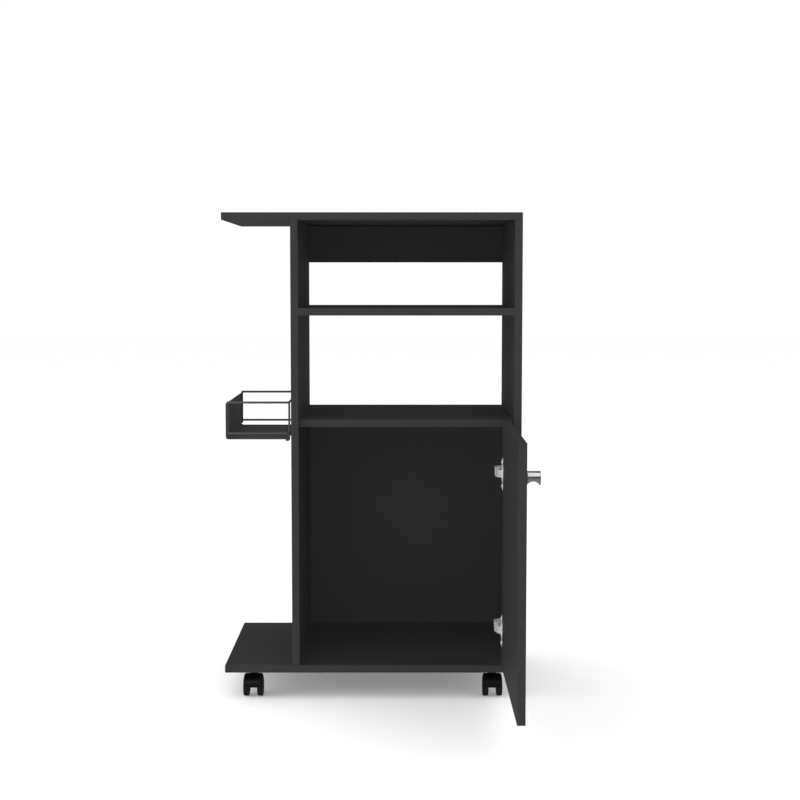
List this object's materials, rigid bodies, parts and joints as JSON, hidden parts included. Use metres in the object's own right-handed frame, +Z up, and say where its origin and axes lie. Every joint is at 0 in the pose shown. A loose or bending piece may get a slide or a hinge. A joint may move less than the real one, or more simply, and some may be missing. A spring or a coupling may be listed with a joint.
{
  "type": "kitchen cart",
  "caption": "Rolling kitchen cart with open bays, a hinged-door cabinet, overhanging top and base, and a metal side basket on swivel casters.",
  "frame": {"origin": "on the floor, below the middle of the overall box with the door open at a right angle", "axes": "+Z up, +X to the right seen from the front, +Y towards the back"},
  "size_m": [0.6018, 0.8228, 0.986],
  "materials": {
    "melamine_board": "satin black melamine-faced board",
    "hardboard": "painted hardboard",
    "beech": "plain",
    "zinc_casting": "die cast",
    "zinc_plated_steel": "zinc plated",
    "black_cap": "matt",
    "nickel_plated_steel": "nickel plated",
    "chromed_knob": "polished",
    "black_steel": "black",
    "hood_nylon": "moulded black",
    "wheel_nylon": "moulded black",
    "basket_paint": "satin black powder coat",
    "black_screw": "black"
  },
  "bodies": {
    "cabinet": {"top_panel": "melamine_board", "side_panel_left": "melamine_board", "side_panel_right": "melamine_board", "upper_shelf": "melamine_board", "lower_shelf": "melamine_board", "base_panel": "melamine_board", "back_rail": "melamine_board", "back_panel": "hardboard", "dowels": "beech", "cam_locks": "zinc_casting", "cam_bolts": "zinc_plated_steel", "cam_caps": "black_cap", "confirmat_screws": "zinc_plated_steel", "back_nails": "zinc_plated_steel", "hinge_arm_upper": "nickel_plated_steel", "hinge_plate_upper": "nickel_plated_steel", "hinge_arm_lower": "nickel_plated_steel", "hinge_plate_lower": "nickel_plated_steel", "hinge_plate_screws": "nickel_plated_steel", "hinge_arm_screws": "nickel_plated_steel", "caster_front_left_plate": "black_steel", "caster_front_left_kingpin": "black_steel", "caster_front_right_plate": "black_steel", "caster_front_right_kingpin": "black_steel", "caster_back_left_plate": "black_steel", "caster_back_left_kingpin": "black_steel", "caster_back_right_plate": "black_steel", "caster_back_right_kingpin": "black_steel", "caster_screws": "zinc_plated_steel", "basket_tray": "basket_paint", "basket_frame": "basket_paint", "basket_brackets": "basket_paint", "basket_screws": "black_screw"},
    "door": {"door_panel": "melamine_board", "hinge_cup_lower": "nickel_plated_steel", "hinge_cup_screws": "nickel_plated_steel", "hinge_cup_upper": "nickel_plated_steel", "knob": "chromed_knob", "knob_screw": "black_screw"},
    "hinge_links": {"hinge_link_upper": "nickel_plated_steel", "hinge_link_lower": "nickel_plated_steel", "hinge_pins": "nickel_plated_steel"},
    "caster_front_left_swivel": {"caster_front_left_hood": "hood_nylon", "caster_front_left_axle": "zinc_plated_steel"},
    "caster_front_left_wheel_left": {"caster_front_left_wheel_left": "wheel_nylon"},
    "caster_front_left_wheel_right": {"caster_front_left_wheel_right": "wheel_nylon"},
    "caster_front_right_swivel": {"caster_front_right_hood": "hood_nylon", "caster_front_right_axle": "zinc_plated_steel"},
    "caster_front_right_wheel_left": {"caster_front_right_wheel_left": "wheel_nylon"},
    "caster_front_right_wheel_right": {"caster_front_right_wheel_right": "wheel_nylon"},
    "caster_back_left_swivel": {"caster_back_left_hood": "hood_nylon", "caster_back_left_axle": "zinc_plated_steel"},
    "caster_back_left_wheel_left": {"caster_back_left_wheel_left": "wheel_nylon"},
    "caster_back_left_wheel_right": {"caster_back_left_wheel_right": "wheel_nylon"},
    "caster_back_right_swivel": {"caster_back_right_hood": "hood_nylon", "caster_back_right_axle": "zinc_plated_steel"},
    "caster_back_right_wheel_left": {"caster_back_right_wheel_left": "wheel_nylon"},
    "caster_back_right_wheel_right": {"caster_back_right_wheel_right": "wheel_nylon"}
  },
  "joints": [
    {"name": "door_swing", "type": "hinge", "parent": "cabinet", "child": "door", "pos_m": [0.2785, 0.01395, 0.322], "axis": [0, 0, 1], "range_deg": [-90, 5]},
    {"name": "hinge_link_swing", "type": "hinge", "parent": "cabinet", "child": "hinge_links", "pos_m": [0.2785, 0.01395, 0.322], "axis": [0, 0, 1], "range_deg": [-74.7, 4.15]},
    {"name": "caster_front_left_swivel", "type": "hinge", "parent": "cabinet", "child": "caster_front_left_swivel", "pos_m": [-0.24585, 0.0676, 0.05], "axis": [0, 0, 1], "continuous": true},
    {"name": "caster_front_left_wheel_left_roll", "type": "hinge", "parent": "caster_front_left_swivel", "child": "caster_front_left_wheel_left", "pos_m": [-0.26065, 0.0516, 0.021], "axis": [1, 0, 0], "continuous": true},
    {"name": "caster_front_left_wheel_right_roll", "type": "hinge", "parent": "caster_front_left_swivel", "child": "caster_front_left_wheel_right", "pos_m": [-0.23105, 0.0516, 0.021], "axis": [1, 0, 0], "continuous": true},
    {"name": "caster_front_right_swivel", "type": "hinge", "parent": "cabinet", "child": "caster_front_right_swivel", "pos_m": [0.24415, 0.0676, 0.05], "axis": [0, 0, 1], "continuous": true},
    {"name": "caster_front_right_wheel_left_roll", "type": "hinge", "parent": "caster_front_right_swivel", "child": "caster_front_right_wheel_left", "pos_m": [0.22935, 0.0516, 0.021], "axis": [1, 0, 0], "continuous": true},
    {"name": "caster_front_right_wheel_right_roll", "type": "hinge", "parent": "caster_front_right_swivel", "child": "caster_front_right_wheel_right", "pos_m": [0.25895, 0.0516, 0.021], "axis": [1, 0, 0], "continuous": true},
    {"name": "caster_back_left_swivel", "type": "hinge", "parent": "cabinet", "child": "caster_back_left_swivel", "pos_m": [-0.24585, 0.3576, 0.05], "axis": [0, 0, 1], "continuous": true},
    {"name": "caster_back_left_wheel_left_roll", "type": "hinge", "parent": "caster_back_left_swivel", "child": "caster_back_left_wheel_left", "pos_m": [-0.26065, 0.3416, 0.021], "axis": [1, 0, 0], "continuous": true},
    {"name": "caster_back_left_wheel_right_roll", "type": "hinge", "parent": "caster_back_left_swivel", "child": "caster_back_left_wheel_right", "pos_m": [-0.23105, 0.3416, 0.021], "axis": [1, 0, 0], "continuous": true},
    {"name": "caster_back_right_swivel", "type": "hinge", "parent": "cabinet", "child": "caster_back_right_swivel", "pos_m": [0.24415, 0.3576, 0.05], "axis": [0, 0, 1], "continuous": true},
    {"name": "caster_back_right_wheel_left_roll", "type": "hinge", "parent": "caster_back_right_swivel", "child": "caster_back_right_wheel_left", "pos_m": [0.22935, 0.3416, 0.021], "axis": [1, 0, 0], "continuous": true},
    {"name": "caster_back_right_wheel_right_roll", "type": "hinge", "parent": "caster_back_right_swivel", "child": "caster_back_right_wheel_right", "pos_m": [0.25895, 0.3416, 0.021], "axis": [1, 0, 0], "continuous": true}
  ],
  "couplings": [
    {"joint": "hinge_link_swing", "follows": "door_swing", "ratio": 0.83}
  ]
}
